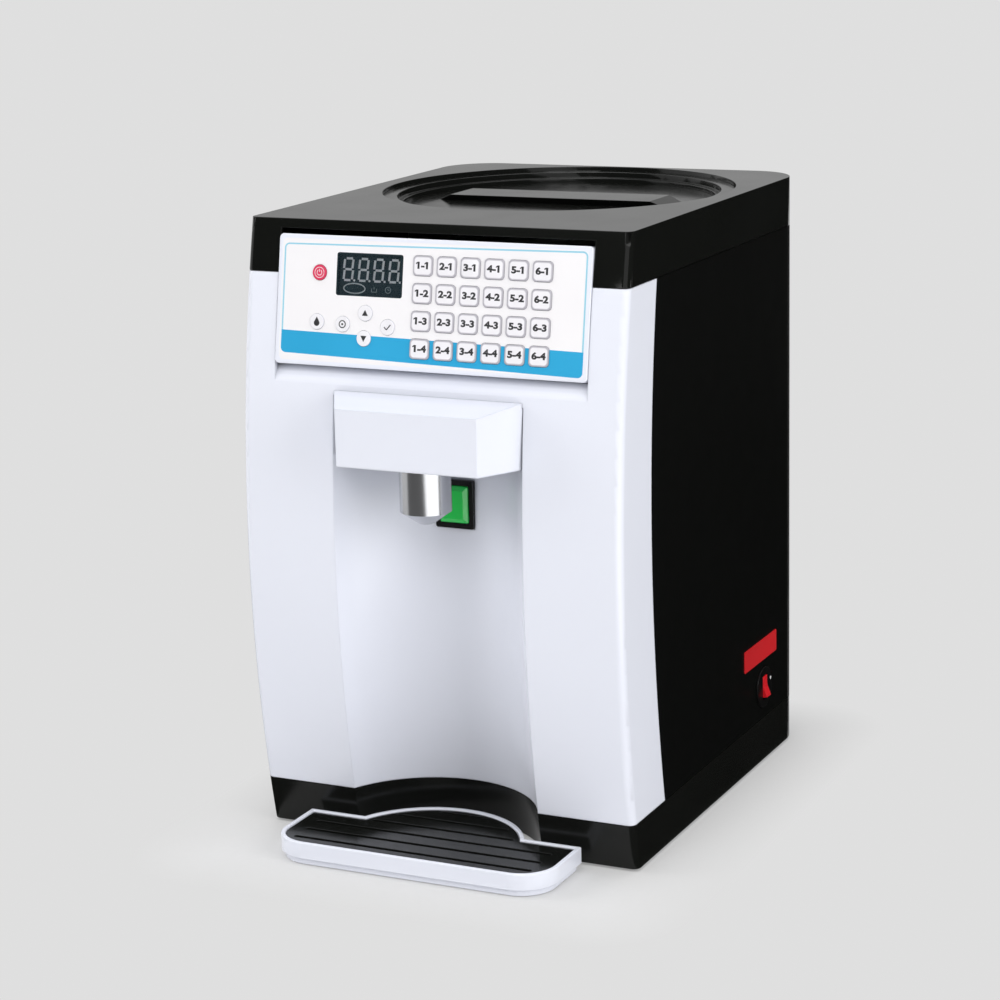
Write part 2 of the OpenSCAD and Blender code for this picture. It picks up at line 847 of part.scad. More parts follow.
module pump_body() {
    color("#a9adb0") placed() difference() {
        union() {
            translate([pump_x0, pump_y, pump_z]) rotate([0, 90, 0])
                cylinder(r = pump_r, h = pump_x1 - pump_x0);
            // suction port upwards, outlet port forwards
            translate([0, pump_y, pump_z]) cylinder(r = 9, h = 46);
            translate([0, pump_y, pump_z]) rotate([90, 0, 0])
                cylinder(r = hose_bore, h = pump_r + 16);
            // foot on four posts
            translate([pump_x0, pump_y - 44, 40]) cube([pump_x1 - pump_x0, 88, 5]);
            translate([pump_x0 + 6, pump_y - 16, 42]) cube([pump_x1 - pump_x0 - 12, 32, 30]);
        }
        translate([pump_x0 + 5, pump_y, pump_z]) rotate([0, 90, 0])
            cylinder(r = rotor_r + 4, h = pump_x1 - pump_x0 - 10);
        translate([pump_x0 + 20, pump_y, pump_z]) rotate([0, 90, 0])
            cylinder(r = shaft_r + 0.05, h = 40);
        translate([0, pump_y, pump_z + 15]) cylinder(r = 6, h = 40);
        translate([0, pump_y - 15, pump_z]) rotate([90, 0, 0]) cylinder(r = 3, h = 50);
        for (s = pump_screws)
            translate([s[0], pump_y + s[1], 35]) cylinder(r = m4_r + 0.02, h = 15);
    }
}

module pump_rotor() {
    color("#d0d2d4") placed() translate([0, pump_y, pump_z]) rotate([0, 90, 0]) {
        translate([0, 0, pump_x0 + 7]) cylinder(r = 11, h = pump_x1 - pump_x0 - 14);
        // four vanes
        for (a = [0:90:270]) rotate([0, 0, a])
            translate([8, -1.5, pump_x0 + 7]) cube([rotor_r - 8, 3, pump_x1 - pump_x0 - 14]);
        translate([0, 0, pump_x0 + 8]) cylinder(r = shaft_r, h = motor_x0 - pump_x0 + 4);
    }
}

module pump_motor() {
    color("#8c9094") placed() translate([0, pump_y, pump_z]) rotate([0, 90, 0]) difference() {
        union() {
            translate([0, 0, motor_x0]) cylinder(r = motor_r, h = motor_x1 - motor_x0);
            // adapter between the pump and the motor
            translate([0, 0, pump_x1]) cylinder(r = 20, h = motor_x0 - pump_x1 + eps);
            translate([0, 0, motor_x1 - eps]) cylinder(r = 12, h = 6);
        }
        translate([0, 0, pump_x1 - 1]) cylinder(r = shaft_r + 0.05, h = motor_x0 - pump_x1 + 14);
        // slots in the end for cooling
        for (a = [0:60:300]) rotate([0, 0, a]) translate([20, 0, motor_x1 - 6])
            cylinder(r = 2.5, h = 10);
    }
}

module suction_hose() {
    top = tank_z0;
    bottom = pump_z + pump_r + 4;
    color("#e0e2dc") placed() translate([0, pump_y, bottom]) difference() {
        cylinder(r = 12, h = top - sheet - bottom);
        translate([0, 0, -1]) cylinder(r = 9, h = 60);
    }
}

// From the pump's outlet forwards, up in front of the tank, and forwards to the nozzle's tail.
module outlet_hose() {
    bend = 20;
    module run(r) {
        start_y = pump_y - pump_r - 4;
        end_y = 26;
        translate([0, start_y, pump_z]) rotate([90, 0, 0])
            cylinder(r = r, h = start_y - hose_y - bend);
        translate([0, hose_y + bend, pump_z + bend]) rotate([90, 0, -90])
            rotate([0, 0, -90]) rotate_extrude(angle = 90) translate([bend, 0]) circle(r);
        translate([0, hose_y, pump_z + bend]) cylinder(r = r, h = hose_z - pump_z - 2 * bend);
        translate([0, hose_y - bend, hose_z - bend]) rotate([90, 0, 90])
            rotate_extrude(angle = 90) translate([bend, 0]) circle(r);
        translate([0, end_y, hose_z]) rotate([-90, 0, 0])
            cylinder(r = r, h = hose_y - bend - end_y);
    }
    color("#dfe3df") placed() difference() {
        run(hose_r);
        run(hose_bore);
    }
}

// ---- Power ----

module power_board() {
    color("#2c6b46") placed() translate(supply_at) {
        difference() {
            translate([-supply_size[0] / 2, -supply_size[1] / 2, 0])
                cube([supply_size[0], supply_size[1], 1.6]);
            for (s = supply_screws)
                translate([s[0], s[1], -1]) cylinder(r = m4_r + 0.02, h = 4);
        }
        translate([-20, -20, 1.6 - eps]) cube([36, 40, 30]);
        for (y = [-38, 34]) translate([-6, y, 1.6 - eps]) cylinder(r = 8, h = 24);
        translate([24, -36, 1.6 - eps]) cube([4, 50, 26]);
        translate([6, 28, 1.6 - eps]) cube([22, 10, 12]);
    }
}

module power_inlet() {
    flange = [50, 24];
    cavity = [24, 16];
    color("#101113") placed()
        translate([inlet_at[0], body_d + 2, inlet_at[1]]) rotate([90, 0, 0]) mirror([0, 0, 1]) {
            difference() {
                union() {
                    linear_extrude(2.5) round_rect(flange, 3);
                    translate([0, 0, -22]) linear_extrude(22 + eps)
                        square([28, 20], center = true);
                }
                translate([0, 0, -15]) linear_extrude(20) round_rect(cavity, 2);
            }
            // three flat pins
            for (p = [[-7, 2.5], [0, -2.5], [7, 2.5]]) translate([p[0], p[1], -15 - eps])
                linear_extrude(13) square([2, 4], center = true);
            for (x = [-7, 0, 7]) translate([x, 0, -30]) linear_extrude(8 + eps)
                square([6, 0.8], center = true);
        }
}

module switch_body() {
    color("#0e0f10") placed() translate([half_w, switch_y, switch_z]) rotate([0, 90, 0]) {
        difference() {
            union() {
                cylinder(r = collar_r, h = collar_proud);
                translate([0, 0, -20]) cylinder(r = 12, h = 20 + eps);
            }
            translate([0, 0, -8]) linear_extrude(30)
                square([rocker_size[1] + 2.4, rocker_size[0] + 0.8], center = true);
            // bearings for the rocker's pin
            translate([0, rocker_pin_l / 2 + 0.2, -rocker_pin_in]) rotate([90, 0, 0])
                cylinder(r = rocker_pin_r + 0.05, h = rocker_pin_l + 0.4);
        }
        for (x = [-6, 6]) translate([x, 0, -28]) linear_extrude(8 + eps)
            square([0.8, 5], center = true);
    }
}

module switch_rocker() {
    tilt = -12;
    l = rocker_size[1] / 2;
    out = 4.7;
    color("#c81e2c") placed() translate([half_w - rocker_pin_in, switch_y, switch_z])
        rotate([0, tilt, 0]) rotate([0, 90, 0]) rotate([90, 0, 0]) {
            translate([0, 0, -rocker_size[0] / 2]) linear_extrude(rocker_size[0])
                polygon([[-l, 1], [-2, -4], [2, -4], [l, 1], [l, out], [0, out - 1.2], [-l, out]]);
            translate([0, 0, -rocker_pin_l / 2]) cylinder(r = rocker_pin_r, h = rocker_pin_l);
        }
}

module screws() {
    color("#9a9c9e") placed() {
        for (s = rear_screws) translate([s[0], body_d + 2, rear_cover_z + s[1]])
            rotate([-90, 0, 0]) m4_screw();
        for (s = pump_screws) translate([s[0], pump_y + s[1], 45]) m4_screw();
        for (s = supply_screws)
            translate([supply_at[0] + s[0], supply_at[1] + s[1], supply_at[2] + 1.6]) m4_screw();
    }
}

top_cover();
lid();
lid_rim();
housing_shell();
rear_cover();
front_panel();
base();
feet();
control_bezel();
keypad_overlay();
display_module();
control_board();
nozzle_housing();
nozzle();
button_frame();
dispense_button();
drip_tray();
drip_grille();
tank();
tank_gasket();
suction_hose();
outlet_hose();
pump_body();
pump_motor();
pump_rotor();
power_board();
power_inlet();
switch_body();
switch_rocker();
screws();
for (k = round_keys) round_key(k);
for (k = preset_keys) preset_key(k[1], k[2]);
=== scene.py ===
"""Looks of the countertop fructose dispenser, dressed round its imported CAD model.

Lengths are in metres and colours are linear RGB. The front faces -Y and +Z is up.
"""

import json
import math

import bmesh
import bpy
from mathutils import Matrix, Vector


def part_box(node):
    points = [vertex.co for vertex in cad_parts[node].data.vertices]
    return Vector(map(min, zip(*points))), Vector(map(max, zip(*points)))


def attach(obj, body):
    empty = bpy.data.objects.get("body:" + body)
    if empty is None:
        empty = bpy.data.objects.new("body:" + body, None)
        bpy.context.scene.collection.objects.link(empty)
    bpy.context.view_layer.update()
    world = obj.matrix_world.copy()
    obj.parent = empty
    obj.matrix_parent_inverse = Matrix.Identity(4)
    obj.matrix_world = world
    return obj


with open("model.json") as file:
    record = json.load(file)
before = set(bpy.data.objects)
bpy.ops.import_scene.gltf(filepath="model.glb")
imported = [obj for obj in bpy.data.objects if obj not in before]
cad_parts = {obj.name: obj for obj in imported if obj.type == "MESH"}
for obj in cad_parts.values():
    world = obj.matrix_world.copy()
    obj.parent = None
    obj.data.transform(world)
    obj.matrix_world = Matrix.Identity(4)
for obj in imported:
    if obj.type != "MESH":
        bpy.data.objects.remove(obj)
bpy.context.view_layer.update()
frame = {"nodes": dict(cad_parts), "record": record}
MM = 0.001


# ---- Camera ----

VIEW_AZIMUTH = 25.61
VIEW_ELEVATION = 13.48
VIEW_ROLL = -1.40
VIEW_DISTANCE = 1.7312
VIEW_TARGET = Vector((0.03926, -0.1198, 0.23502))
LENS_MM = 98.65


def add_camera():
    azimuth, elevation, roll = (
        math.radians(a) for a in (VIEW_AZIMUTH, VIEW_ELEVATION, VIEW_ROLL)
    )
    back = Vector((
        math.sin(azimuth) * math.cos(elevation),
        -math.cos(azimuth) * math.cos(elevation),
        math.sin(elevation),
    ))
    right = (-back).cross(Vector((0, 0, 1))).normalized()
    up = right.cross(-back)
    rolled_right = math.cos(roll) * right + math.sin(roll) * up
    rolled_up = math.cos(roll) * up - math.sin(roll) * right
    data = bpy.data.cameras.new("camera")
    data.lens = LENS_MM
    data.clip_end = 50
    camera = bpy.data.objects.new("camera", data)
    turn = Matrix((rolled_right, rolled_up, back)).transposed().to_4x4()
    camera.matrix_world = Matrix.Translation(VIEW_TARGET + VIEW_DISTANCE * back) @ turn
    bpy.context.scene.collection.objects.link(camera)
    bpy.context.scene.camera = camera


# ---- Shader graphs ----

class Shader:
    """A material with one Principled shader, and short calls for the nodes that feed it."""

    def __init__(self, name, **sockets):
        self.material = bpy.data.materials.new(name)
        self.material.use_nodes = True
        self.tree = self.material.node_tree
        self.surface = self.tree.nodes["Principled BSDF"]
        self.place = self.add("ShaderNodeTexCoord").outputs["Object"]
        for socket, value in sockets.items():
            self.set(socket, value)

    def set(self, socket, value):
        self.feed(self.surface.inputs[socket.replace("_", " ")], value)

    def feed(self, socket, value):
        if isinstance(value, bpy.types.NodeSocket):
            self.tree.links.new(value, socket)
        elif isinstance(value, (tuple, list)) and len(value) == 3 and socket.type == "RGBA":
            socket.default_value = (*value, 1)
        else:
            socket.default_value = value

    def add(self, kind, inputs=None, **settings):
        node = self.tree.nodes.new(kind)
        for name, value in settings.items():
            setattr(node, name, value)
        for name, value in (inputs or {}).items():
            self.feed(node.inputs[name], value)
        return node

    def math(self, operation, a, b=0.0):
        return self.add("ShaderNodeMath", {0: a, 1: b}, operation=operation).outputs[0]

    def vector(self, operation, a, b=(0, 0, 0)):
        node = self.add("ShaderNodeVectorMath", {0: a, 1: b}, operation=operation)
        return node.outputs["Value" if operation == "DOT_PRODUCT" else "Vector"]

    def noise(self, scale, detail=2.0, roughness=0.5, stretch=(1, 1, 1)):
        place = self.vector("MULTIPLY", self.place, stretch)
        inputs = {"Vector": place, "Scale": scale, "Detail": detail, "Roughness": roughness}
        return self.add("ShaderNodeTexNoise", inputs).outputs[0]

    def span(self, value, low, high, to_low=0.0, to_high=1.0):
        inputs = {
            "Value": value, "From Min": low, "From Max": high, "To Min": to_low, "To Max": to_high,
        }
        return self.add("ShaderNodeMapRange", inputs).outputs[0]

    def mix(self, factor, a, b):
        node = self.add("ShaderNodeMix", data_type="RGBA")
        self.feed(node.inputs[0], factor)
        self.feed(node.inputs[6], a)
        self.feed(node.inputs[7], b)
        return node.outputs[2]

    def bump(self, height, depth, over=None):
        inputs = {"Height": height, "Distance": depth, "Strength": 1.0}
        if over is not None:
            inputs["Normal"] = over
        return self.add("ShaderNodeBump", inputs).outputs[0]


def moulded(
    name, colour, shade, roughness, spread=0.03, grain=0.00001, wave=0.00004, edge=0.0, nook_shade=0.0,
    **sockets
):
    """Moulded plastic: clouded colour, uneven gloss, a fine grain and a slow waviness.

    An edge width rounds the shading at the edges, and a shade share paints shade into the colour in
    hollows, darker where ambient occlusion finds other faces near.
    """
    nook_reach = 30 * MM
    shut, open_air = 0.2, 0.85
    s = Shader(name, **sockets)
    rounded = s.add("ShaderNodeBevel", {"Radius": edge}).outputs[0] if edge else None
    cloud = s.span(s.noise(8, 1), 0.2, 0.8)
    clean = s.mix(cloud, shade, colour)
    # painted shade: ambient occlusion darkens the colour in hollows, under overhangs and between
    # parts
    if nook_shade:
        open_share = s.add("ShaderNodeAmbientOcclusion", {"Distance": nook_reach}).outputs["AO"]
        darkened_in_hollows = [nook_shade * c for c in colour]
        clean = s.mix(s.span(open_share, shut, open_air), darkened_in_hollows, clean)
    s.set("Base_Color", clean)
    s.set("Roughness", s.span(s.noise(25, 1), 0.2, 0.8, roughness - spread, roughness + spread))
    fine = s.bump(s.noise(1600, 2), grain, rounded)
    s.set("Normal", s.bump(s.noise(16, 1), wave, fine))
    return s


def powder_coat():
    """Baked black paint on sheet steel: fine specks, orange peel and a slow waviness."""
    s = Shader("black_housing", Specular_IOR_Level=0.22)
    speck = s.span(s.noise(2400, 1), 0.45, 0.75)
    s.set("Base_Color", s.mix(speck, (0.0042, 0.0045, 0.0042), (0.0085, 0.0088, 0.0082)))
    s.set("Roughness", s.span(s.noise(30, 1), 0.3, 0.7, 0.38, 0.42))
    s.set("Normal", s.bump(s.noise(420, 2), 0.00004, s.bump(s.noise(9, 1), 0.00015)))
    return s


def turned_steel(name, colour, roughness, axis, lathe=0.000002):
    """Stainless steel off the lathe: rings round its axis and an uneven polish."""
    s = Shader(name, Metallic=1.0, Anisotropic=0.45)
    along = [9000 if a == axis else 20 for a in "xyz"]
    rings = s.noise(1, 1, 0.5, along)
    s.set("Base_Color", s.mix(s.span(rings, 0.2, 0.8), [c * 0.93 for c in colour], colour))
    smudge = s.span(s.noise(30, 1), 0.2, 0.8, roughness, roughness + 0.06)
    s.set("Roughness", smudge)
    s.set("Normal", s.bump(rings, lathe))
    return s


def cast_metal(name, colour, roughness):
    """A machined casting: matt grain with brighter worn patches."""
    s = Shader(name, Metallic=1.0)
    wear = s.span(s.noise(45, 5, 0.6), 0.4, 0.65)
    s.set("Base_Color", s.mix(wear, [c * 0.7 for c in colour], colour))
    s.set("Roughness", s.span(s.noise(120, 3), 0.3, 0.7, roughness, roughness + 0.15))
    s.set("Normal", s.bump(s.noise(900, 3), 0.00005))
    return s


def soft_rubber(name, colour, roughness):
    """Rubber or silicone: matt, with a dusty bloom."""
    s = Shader(name, Subsurface_Weight=0.05, Subsurface_Radius=(0.001, 0.001, 0.001))
    bloom = s.span(s.noise(90, 4), 0.45, 0.8)
    s.set("Base_Color", s.mix(bloom, colour, [min(1, c * 1.25 + 0.01) for c in colour]))
    s.set("Roughness", s.span(s.noise(300, 2), 0.3, 0.7, roughness - 0.08, roughness + 0.06))
    s.set("Normal", s.bump(s.noise(1200, 2), 0.00003))
    return s


def circuit_board():
    """Green solder mask with faint tracks."""
    s = Shader("circuit_board", Coat_Weight=0.4, Coat_Roughness=0.2)
    lines = s.add("ShaderNodeTexVoronoi", {"Vector": s.place, "Scale": 320.0}, distance="MANHATTAN")
    tracks = s.span(lines.outputs["Distance"], 0.18, 0.24)
    s.set("Base_Color", s.mix(tracks, (0.045, 0.22, 0.09), (0.015, 0.1, 0.045)))
    s.set("Roughness", s.span(s.noise(500, 2), 0.3, 0.7, 0.35, 0.5))
    s.set("Normal", s.bump(tracks, 0.00003))
    return s


# ---- Control panel ----

# The panel leans back: its lower edge stands 14 mm further forward than its upper one, 82 mm above.
PANEL_LEAN = math.atan2(14, 82)
PANEL_ORIGIN = Vector((0, -139.8, 318)) * MM
PANEL_UP = Vector((0, math.sin(PANEL_LEAN), math.cos(PANEL_LEAN)))
PANEL_OUT = Vector((0, -math.cos(PANEL_LEAN), math.sin(PANEL_LEAN)))
WINDOW_AT = Vector((-43.1, 59)) * MM
WINDOW_SIZE = Vector((47, 27.2)) * MM
KEY_PROUD = 0.6 * MM
KEY_SIZE = Vector((13.6, 12.7)) * MM
FIRST_KEY_AT = Vector((-5.6, 66.4)) * MM
KEY_PITCH = Vector((16.4, 17.3)) * MM
ROUND_KEYS_AT = {
    "key_power": Vector((-78.7, 59.2)) * MM,
    "key_up": Vector((-44.8, 35)) * MM,
    "key_down": Vector((-45.2, 19)) * MM,
    "key_clean": Vector((-79.2, 28)) * MM,
    "key_set": Vector((-60.7, 27.3)) * MM,
    "key_save": Vector((-28.7, 26.9)) * MM,
}
PRINT_T = 0.03 * MM


def on_panel(across, up, out=0.0):
    """The matrix that puts a flat drawing on the panel, its middle at that place."""
    place = PANEL_ORIGIN + Vector((across, 0, 0)) + up * PANEL_UP + out * PANEL_OUT
    turn = Matrix((Vector((1, 0, 0)), PANEL_UP, PANEL_OUT)).transposed().to_4x4()
    return Matrix.Translation(place) @ turn


def panel_axes(s):
    """Sockets for a point's place on the panel: across, up the slope, and out of it."""
    offset = s.vector("SUBTRACT", s.place, tuple(PANEL_ORIGIN))
    axes = (Vector((1, 0, 0)), PANEL_UP, PANEL_OUT)
    return [s.vector("DOT_PRODUCT", offset, tuple(axis)) for axis in axes]


def round_box_distance(s, across, up, middle, size, radius):
    """Distance outside a round-cornered rectangle, negative inside it."""
    reach = []
    for value, centre, extent in zip((across, up), middle, size):
        from_centre = s.math("ABSOLUTE", s.math("SUBTRACT", value, centre))
        reach.append(s.math("SUBTRACT", from_centre, extent / 2 - radius))
    outside = [s.math("MAXIMUM", r, 0.0) for r in reach]
    corner = s.math("SQRT", s.math("ADD", *[s.math("POWER", o, 2.0) for o in outside]))
    inside = s.math("MINIMUM", s.math("MAXIMUM", *reach), 0.0)
    return s.math("SUBTRACT", s.math("ADD", corner, inside), radius)


def printed_film():
    """White polyester film with a blue band and border, and a clear window ringed in black."""
    line_w = 1.1 * MM
    band_top = -22.7 * MM
    print_ends = (-104.9 * MM, 106.0 * MM)
    print_h = 77.2 * MM
    print_h_left = 69.8 * MM
    ring_w = 1.3 * MM
    print_corner, window_corner = 3.5 * MM, 1.6 * MM
    s = Shader("overlay_film", IOR=1.25)
    across, up, _ = panel_axes(s)
    # the print narrows towards the left end, as the photograph shows it
    middle = s.span(across, *print_ends, 42.3 * MM, 41.3 * MM)
    widen = s.span(across, *print_ends, print_h / print_h_left, 1.0)
    level = s.math("MULTIPLY", s.math("SUBTRACT", up, middle), widen)
    centre = (sum(print_ends) / 2, 0)
    size = (print_ends[1] - print_ends[0], print_h)
    distance = round_box_distance(s, across, level, centre, size, print_corner)
    off_line = s.math("ABSOLUTE", s.math("ADD", distance, line_w / 2))
    line = s.math("LESS_THAN", off_line, line_w / 2)
    band = s.math("LESS_THAN", level, band_top)
    inside = s.math("LESS_THAN", distance, 0.0)
    cloud = s.span(s.noise(20, 1), 0.2, 0.8)
    paper = s.mix(cloud, (0.84, 0.825, 0.845), (0.87, 0.855, 0.87))
    lined = s.mix(line, paper, (0.30, 0.60, 0.74))
    blue = s.mix(cloud, (0.028, 0.35, 0.62), (0.034, 0.38, 0.66))
    printed = s.mix(s.math("MULTIPLY", band, inside), lined, blue)
    off_window = round_box_distance(s, across, up, WINDOW_AT, WINDOW_SIZE, window_corner)
    ringed = s.mix(s.math("LESS_THAN", off_window, 0.0), printed, (0.014, 0.026, 0.032))
    clear = s.math("LESS_THAN", off_window, -ring_w)
    s.set("Base_Color", s.mix(clear, ringed, (0.80, 0.87, 0.90)))
    s.set("Transmission_Weight", clear)
    matt = s.span(s.noise(400, 2), 0.3, 0.7, 0.33, 0.42)
    s.set("Roughness", s.add(
        "ShaderNodeMapRange", {"Value": clear, "To Min": matt, "To Max": 0.03}
    ).outputs[0])
    s.set("Coat_Weight", s.span(clear, 0, 1, 0.2, 0.0))
    s.set("Normal", s.bump(s.noise(2600, 2), 0.000002))
    return s


def key_face(name, colour, rim, border=None):
    """A printed key: its face in one colour, any border in another, and its rounded edge in a
    darker colour that is painted shade.
    """
    s = Shader(name, Coat_Weight=0.15, Coat_Roughness=0.2)
    geometry = s.add("ShaderNodeNewGeometry").outputs["Normal"]
    facing = s.vector("DOT_PRODUCT", geometry, tuple(PANEL_OUT))
    flat = s.span(facing, 0.80, 0.97)
    cloud = s.span(s.noise(150, 1), 0.2, 0.8)
    face = s.mix(cloud, [0.97 * c for c in colour], colour)
    if border:
        face = s.mix(preset_border(s), face, border)
    # painted shade: faces turned away from the panel take the darker rim colour
    s.set("Base_Color", s.mix(flat, rim, face))
    s.set("Roughness", s.span(s.noise(500, 2), 0.3, 0.7, 0.34, 0.42))
    s.set("Normal", s.bump(s.noise(2600, 2), 0.000003))
    return s


def preset_border(s):
    """1 on the soft grey border of every preset key, 0 within it."""
    border_w = 0.95 * MM
    blur = 0.4 * MM
    key_corner = 3.2 * MM
    across, up, _ = panel_axes(s)
    local = []
    for value, first, pitch in zip((across, up), FIRST_KEY_AT, KEY_PITCH):
        turns = s.math("DIVIDE", s.math("SUBTRACT", value, first - pitch / 2), pitch)
        share = s.math("SUBTRACT", s.math("FRACT", turns), 0.5)
        local.append(s.math("MULTIPLY", share, pitch))
    distance = round_box_distance(s, *local, (0, 0), KEY_SIZE, key_corner)
    return s.span(distance, -border_w - blur, -border_w + blur)


def display_block():
    """The display's dark face, with its raised segments in pale grey."""
    segment_depth = 1.2 * MM
    s = Shader("display_block", Specular_IOR_Level=0.12)
    out = panel_axes(s)[2]
    raised = s.math("GREATER_THAN", out, -segment_depth)
    mottle = s.span(s.noise(700, 2), 0.3, 0.7)
    face = s.mix(mottle, (0.012, 0.024, 0.030), (0.016, 0.030, 0.037))
    segment = s.mix(mottle, (0.46, 0.42, 0.42), (0.56, 0.52, 0.52))
    s.set("Base_Color", s.mix(raised, face, segment))
    s.set("Roughness", s.span(mottle, 0, 1, 0.4, 0.5))
    s.set("Normal", s.bump(s.noise(1500, 1), 0.00001))
    return s


# ---- Materials by slot ----

def make_materials():
    """The shader for every material slot in the record."""
    white = dict(colour=(0.80, 0.82, 0.90), shade=(0.785, 0.805, 0.885))
    black = dict(colour=(0.0075, 0.008, 0.0072), shade=(0.0055, 0.006, 0.0052))
    return {
        "black_cover": moulded(
            "black_cover", **black, roughness=0.14, grain=0.000005, Specular_IOR_Level=0.35
        ),
        "black_housing": powder_coat(),
        # the white panel gets painted shade in its hollows and under the bezel
        "white_panel": moulded(
            "white_panel", **white, roughness=0.24, wave=0.00012, edge=0.0015, nook_shade=0.6
        ),
        "black_base": moulded(
            "black_base", **black, roughness=0.2, wave=0.0001, edge=0.0008,
            Specular_IOR_Level=0.24,
        ),
        "foot_rubber": soft_rubber("foot_rubber", (0.012, 0.012, 0.012), 0.75),
        "white_bezel": moulded("white_bezel", **white, roughness=0.3),
        "overlay_film": printed_film(),
        "display_block": display_block(),
        "circuit_board": circuit_board(),
        "nozzle_steel": turned_steel("nozzle_steel", (0.58, 0.585, 0.60), 0.17, "z", 0.0000005),
        "switch_black": moulded(
            "switch_black", (0.007, 0.007, 0.007), (0.005, 0.005, 0.005), roughness=0.28
        ),
        "green_lens": moulded(
            "green_lens", (0.014, 0.68, 0.095), (0.010, 0.57, 0.08), roughness=0.22,
            Subsurface_Weight=0.25, Subsurface_Radius=(0.001, 0.004, 0.001), Coat_Weight=0.6,
            Coat_Roughness=0.08,
        ),
        "white_tray": moulded("white_tray", **white, roughness=0.22),
        "black_grille": moulded(
            "black_grille", **black, roughness=0.14, wave=0.00006, Specular_IOR_Level=0.38
        ),
        "tank_steel": turned_steel("tank_steel", (0.60, 0.605, 0.61), 0.26, "z"),
        "gasket_silicone": soft_rubber("gasket_silicone", (0.62, 0.62, 0.58), 0.6),
        "hose_silicone": soft_rubber("hose_silicone", (0.6, 0.63, 0.6), 0.5),
        "pump_metal": cast_metal("pump_metal", (0.5, 0.51, 0.52), 0.3),
        "motor_metal": cast_metal("motor_metal", (0.3, 0.31, 0.32), 0.35),
        "rotor_steel": turned_steel("rotor_steel", (0.56, 0.565, 0.57), 0.22, "x"),
        "screw_steel": cast_metal("screw_steel", (0.5, 0.5, 0.48), 0.25),
        "red_rocker": moulded(
            "red_rocker", (0.66, 0.010, 0.018), (0.58, 0.008, 0.014), roughness=0.3,
        ),
        # each key's second colour is painted shade for its rounded edge
        "red_key": key_face("red_key", (0.72, 0.035, 0.11), (0.45, 0.02, 0.07)),
        "grey_key": key_face("grey_key", (0.84, 0.83, 0.865), (0.77, 0.77, 0.83)),
        "white_key": key_face(
            "white_key", (0.86, 0.845, 0.88), (0.43, 0.42, 0.46), border=(0.43, 0.415, 0.46)
        ),
    }


def dress_nodes(materials):
    """Gives every CAD node the material of its slot in the record."""
    slots = {part["node"]: part["material_slot"] for part in frame["record"]["subparts"]}
    for name, node in frame["nodes"].items():
        for slot in node.material_slots:
            slot.material = materials[slots[name]].material


# ---- Rounded edges ----

EDGE_WIDTHS = {
    "top_cover": 0.4, "control_bezel": 0.8, "lid": 0.5, "lid_rim": 0.5, "drip_tray": 0.7,
    "drip_grille": 0.35, "housing_shell": 0.3, "rear_cover": 0.2, "button_frame": 0.3,
    "dispense_button": 0.3, "switch_body": 0.4, "switch_rocker": 0.4, "power_inlet": 0.3,
}
KEY_EDGE = 0.4


def round_edges(node, width):
    """Modifiers that weld the node's faces at their seams, merge flat ones and round its edges."""
    weld = node.modifiers.new("weld", "WELD")
    weld.merge_threshold = 0.000001
    flat = node.modifiers.new("flat", "DECIMATE")
    flat.decimate_type = "DISSOLVE"
    flat.angle_limit = math.radians(0.05)
    bevel = node.modifiers.new("bevel", "BEVEL")
    bevel.width = width
    bevel.segments = 3
    bevel.limit_method = "ANGLE"
    bevel.angle_limit = math.radians(30)
    bevel.use_clamp_overlap = False
    bevel.harden_normals = True


# ---- New pieces ----

def add_piece(name, mesh, shader, body):
    """A new visible piece that rides on a body and belongs to a material slot."""
    mesh.materials.append(shader.material)
    piece = bpy.data.objects.new(name, mesh)
    bpy.context.scene.collection.objects.link(piece)
    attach(piece, body)


def raise_outline(build, outline, low, thickness):
    """Adds a flat outline to the mesh at that level, raised by the thickness; returns its top."""
    face = build.faces.new([build.verts.new((x, y, low)) for x, y in outline])
    raised = bmesh.ops.extrude_face_region(build, geom=[face])["geom"]
    verts = [g for g in raised if isinstance(g, bmesh.types.BMVert)]
    bmesh.ops.translate(build, vec=(0, 0, thickness), verts=verts)
    return verts


def slab(name, outlines, place, thickness, bevel=0.0):
    """A mesh of flat closed outlines, each a list of (x, y), raised by the thickness and placed."""
    build = bmesh.new()
    for outline in outlines:
        verts = raise_outline(build, outline, 0, thickness)
        if bevel:
            top = {e for v in verts for e in v.link_edges if e.other_vert(v) in verts}
            bmesh.ops.bevel(
                build, geom=list(top), offset=bevel, segments=3, profile=0.5, affect="EDGES"
            )
    bmesh.ops.recalc_face_normals(build, faces=build.faces)
    bmesh.ops.transform(build, matrix=place, verts=build.verts)
    mesh = bpy.data.meshes.new(name)
    build.to_mesh(mesh)
    build.free()
    return mesh


def round_rect(size, radius, steps=6):
    """The outline of a round-cornered rectangle about the origin."""
    points = []
    for turn, (sx, sy) in enumerate([(1, 1), (-1, 1), (-1, -1), (1, -1)]):
        cx, cy = sx * (size[0] / 2 - radius), sy * (size[1] / 2 - radius)
        for k in range(steps + 1):
            a = math.radians(90 * (turn + k / steps))
            points.append((cx + radius * math.cos(a), cy + radius * math.sin(a)))
    return points


def arc_band(radius, width, start=0.0, end=360.0, stretch=1.0, steps=32):
    """Quads along an arc of the given middle radius, wide in x by the stretch."""
    quads = []
    for k in range(steps):
        corners = []
        for turn, r in ((k, -1), (k + 1, -1), (k + 1, 1), (k, 1)):
            a = math.radians(start + (end - start) * turn / steps)
            reach = radius + r * width / 2
            x = (radius * (stretch - 1) + reach) * math.cos(a)
            corners.append((x, reach * math.sin(a)))
        quads.append(corners)
    return quads


def frame_band(size, radius, width):
    """Quads along a round-cornered frame of the given middle size."""
    outer = round_rect([side + width for side in size], radius + width / 2)
    inner = round_rect([side - width for side in size], radius - width / 2)
    return [[outer[k - 1], outer[k], inner[k], inner[k - 1]] for k in range(len(outer))]


